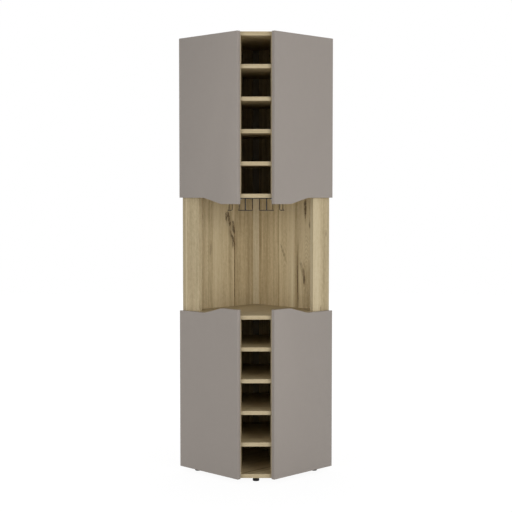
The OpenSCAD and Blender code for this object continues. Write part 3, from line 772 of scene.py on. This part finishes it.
def detailed(name, make):
    """One piece that stands for a construction piece of round solids, with each solid's
    detail modelled once and copied to every place."""
    shapes = {}
    copies = []
    for corners in separate_solids(name):
        place, rings = standing(corners, thin=make is soft_dome)
        sizes = tuple((round(along, 4), round(radius, 4)) for along, radius in rings)
        if sizes not in shapes:
            shapes[sizes] = make(rings)
        copy = shapes[sizes].copy()
        copy.data = shapes[sizes].data.copy()
        bpy.context.scene.collection.objects.link(copy)
        copy.matrix_world = place
        copies.append(copy)
    for shape in shapes.values():
        bpy.data.objects.remove(shape)
    bpy.ops.object.select_all(action="DESELECT")
    for copy in copies:
        copy.select_set(True)
    bpy.context.view_layer.objects.active = copies[0]
    bpy.ops.object.transform_apply(location=True, rotation=True, scale=True)
    bpy.ops.object.join()
    bpy.ops.object.shade_smooth_by_angle(angle=SMOOTH_BELOW)
    piece = bpy.context.object
    piece.name = name + "_detailed"
    piece.data.materials.append(node_finish(name))
    bodies = record["behaviour"]["bodies"]
    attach(piece, next(body for body in bodies if name in bodies[body]))
    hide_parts(name)


detailed("carcass_screws", socket_screw)
detailed("door_bumpers", soft_dome)
for node_name in list(nodes):
    if "screws" in node_name and node_name != "carcass_screws":
        detailed(node_name, cross_screw)


# Camera at the photograph's place: in front of the cut corner, looking slightly down
CAMERA_DISTANCE = 4.669       # metres before the doors' front corners
CAMERA_HEIGHT = 1.1527
CAMERA_TILT = 2.928           # degrees below level
CAMERA_LENS = 83.01           # millimetres
CAMERA_SENSOR = 36
camera_data = bpy.data.cameras.new("camera")
camera_data.lens = CAMERA_LENS
camera_data.sensor_width = CAMERA_SENSOR
camera = bpy.data.objects.new("camera", camera_data)
camera.location = (0, FRONT_Y - CAMERA_DISTANCE, CAMERA_HEIGHT)
camera.rotation_euler = (math.radians(90 - CAMERA_TILT), 0, 0)
bpy.context.scene.collection.objects.link(camera)
bpy.context.scene.camera = camera


def seen_rays(finish):
    """1 for rays that show the background: from the camera, in gloss and through glass."""
    rays = [finish.node("ShaderNodeLightPath", output=name)
            for name in ("Is Camera Ray", "Is Glossy Ray", "Is Transmission Ray")]
    return rays[0].math("MAXIMUM", rays[0].math("MAXIMUM", rays[0], rays[1]), rays[2])


# The room's light on matte surfaces is low, and the backdrop itself is white
AMBIENT = 0.5
WHITE = (1.0, 1.0, 1.0, 1.0)
FLOOR_GREY = (0.8, 0.8, 0.8, 1.0)
FLOOR_GLOW = 1.05             # the seen floor's own light
FLOOR_RADIUS = 9.0
SHADOW_SHARE = 0.1            # how much of the lit, shadowed floor is seen near the cabinet
SHADOW_NEAR = 0.3             # it fades from this distance, to nothing at the far one
SHADOW_FAR = 1.3


def studio_world():
    world = bpy.data.worlds.new("studio")
    bpy.context.scene.world = world
    finish = Finish("studio", world)
    dim = finish.node("ShaderNodeBackground", sockets={"Color": WHITE, "Strength": AMBIENT})
    white = finish.node("ShaderNodeBackground", sockets={"Color": WHITE, "Strength": 1.0})
    both = finish.node("ShaderNodeMixShader", sockets={0: seen_rays(finish), 1: dim, 2: white})
    finish.node("ShaderNodeOutputWorld", sockets={"Surface": both})


def studio_floor():
    """A plain pale floor that keeps the object's shadow and turns white further out."""
    bpy.ops.object.select_all(action="DESELECT")
    bpy.ops.mesh.primitive_circle_add(vertices=64, radius=FLOOR_RADIUS, fill_type="NGON",
                                      location=(0, 0, 0))
    floor = bpy.context.object
    floor.name = "studio_floor"
    finish = Finish("studio_floor")
    x, y, _ = finish.place()
    away = finish.rise(x * x + y * y, SHADOW_NEAR ** 2, SHADOW_FAR ** 2)
    matte = finish.node("ShaderNodeBsdfDiffuse", sockets={"Color": FLOOR_GREY})
    white = finish.node("ShaderNodeEmission", sockets={"Color": WHITE, "Strength": FLOOR_GLOW})
    share = (1 - SHADOW_SHARE) + away * SHADOW_SHARE
    shown = finish.node("ShaderNodeMixShader", sockets={0: share, 1: matte, 2: white})
    both = finish.node("ShaderNodeMixShader", sockets={0: seen_rays(finish), 1: matte, 2: shown})
    finish.node("ShaderNodeOutputMaterial", sockets={"Surface": both})
    floor.data.materials.append(finish.material)


CABINET_MIDDLE = Vector((0, 0, 0.95))    # where the softboxes aim


def soft_light(name, azimuth, distance, height, size, power):
    """A softbox at an azimuth from straight ahead, aimed at the cabinet's middle."""
    data = bpy.data.lights.new(name, "AREA")
    data.shape = "RECTANGLE"
    data.size, data.size_y = size
    data.energy = power
    light = bpy.data.objects.new(name, data)
    turn = math.radians(azimuth)
    place = Vector((distance * math.sin(turn), -distance * math.cos(turn), height))
    light.location = place
    light.rotation_euler = (CABINET_MIDDLE - place).to_track_quat("-Z", "Y").to_euler()
    light.visible_camera = False
    bpy.context.scene.collection.objects.link(light)


studio_world()
studio_floor()
soft_light("right_softbox", azimuth=33, distance=4.2, height=1.3, size=(1.8, 2.6), power=60)
soft_light("left_softbox", azimuth=-33, distance=4.2, height=1.3, size=(1.8, 2.6), power=39)
soft_light("rear_softbox", azimuth=180, distance=4.0, height=1.9, size=(3.0, 2.4), power=60)

bpy.context.scene.view_settings.view_transform = "Standard"
